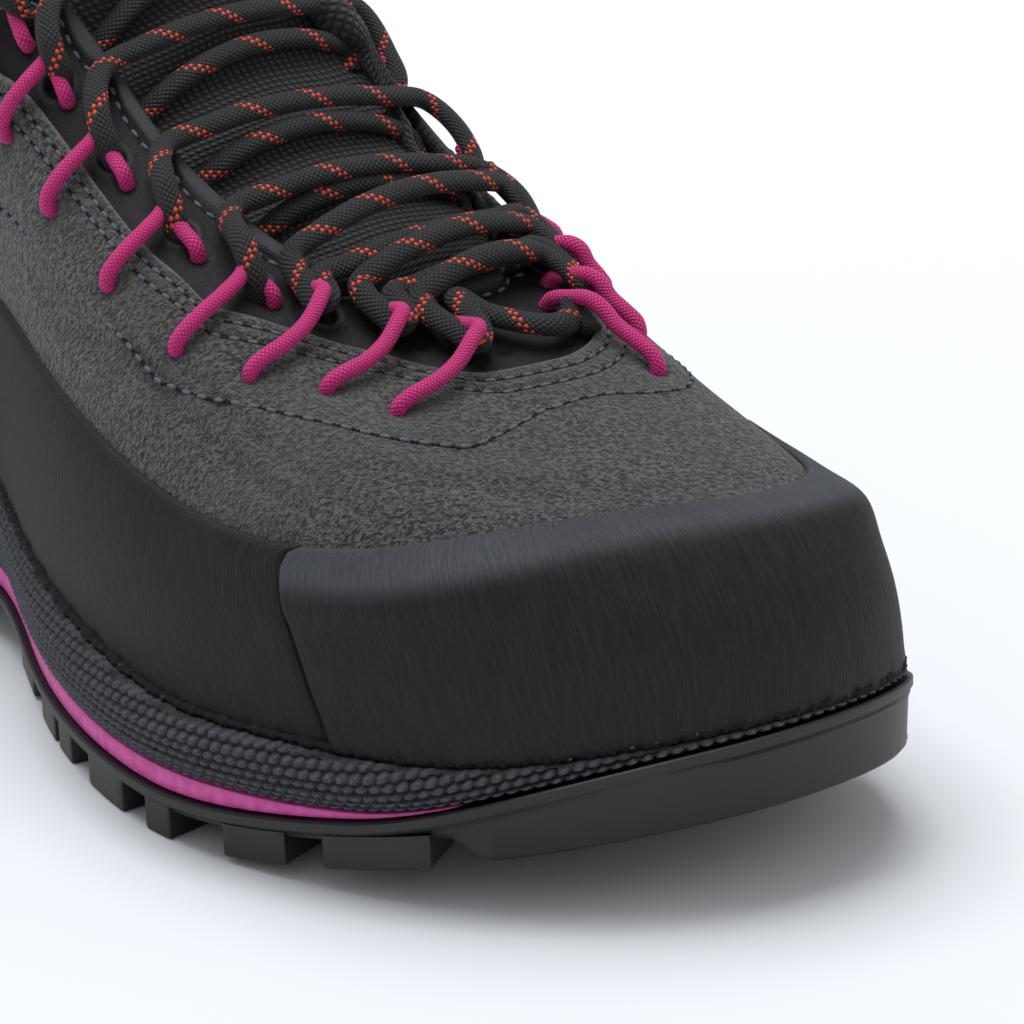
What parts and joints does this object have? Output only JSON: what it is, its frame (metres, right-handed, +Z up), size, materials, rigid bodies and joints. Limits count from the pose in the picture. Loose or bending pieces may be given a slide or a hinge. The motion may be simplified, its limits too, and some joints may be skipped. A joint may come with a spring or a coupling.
{
  "type": "approach shoe",
  "caption": "Low-cut right approach shoe: suede upper with a rubber rand and toe cap, lace-to-toe cord loops, lugged outsole with a smooth climbing edge.",
  "frame": {"origin": "on the floor under the middle of the shoe's box", "axes": "+X from heel to toe, +Y to the inner side of the foot, +Z up"},
  "size_m": [0.269, 0.103, 0.1275],
  "materials": {
    "sole_rubber": "satin moulded rubber",
    "rand_rubber": "matt buffed rubber",
    "pink_foam": "dense foam",
    "knobbly_foam": "textured foam",
    "suede": "short nap",
    "microfibre": "smooth",
    "mesh_cloth": "knitted mesh",
    "braided_lace": "round braid",
    "pink_cord": "round braid"
  },
  "bodies": {
    "root": {"outsole": "sole_rubber", "midsole_line": "pink_foam", "midsole": "knobbly_foam", "insole": "mesh_cloth", "upper": "suede", "toe_cap": "rand_rubber", "side_rand_outer": "rand_rubber", "side_rand_inner": "rand_rubber", "heel_rand": "rand_rubber", "facing": "microfibre", "collar_cuff": "mesh_cloth", "tongue": "mesh_cloth", "heel_pull": "microfibre", "lace": "braided_lace", "cord_loop_outer_1": "pink_cord", "cord_loop_outer_2": "pink_cord", "cord_loop_outer_3": "pink_cord", "cord_loop_outer_4": "pink_cord", "cord_loop_outer_5": "pink_cord", "cord_loop_outer_6": "pink_cord", "cord_loop_outer_7": "pink_cord", "cord_loop_outer_8": "pink_cord", "cord_loop_inner_1": "pink_cord", "cord_loop_inner_2": "pink_cord", "cord_loop_inner_3": "pink_cord", "cord_loop_inner_4": "pink_cord", "cord_loop_inner_5": "pink_cord", "cord_loop_inner_6": "pink_cord", "cord_loop_inner_7": "pink_cord", "cord_loop_inner_8": "pink_cord"}
  },
  "joints": []
}
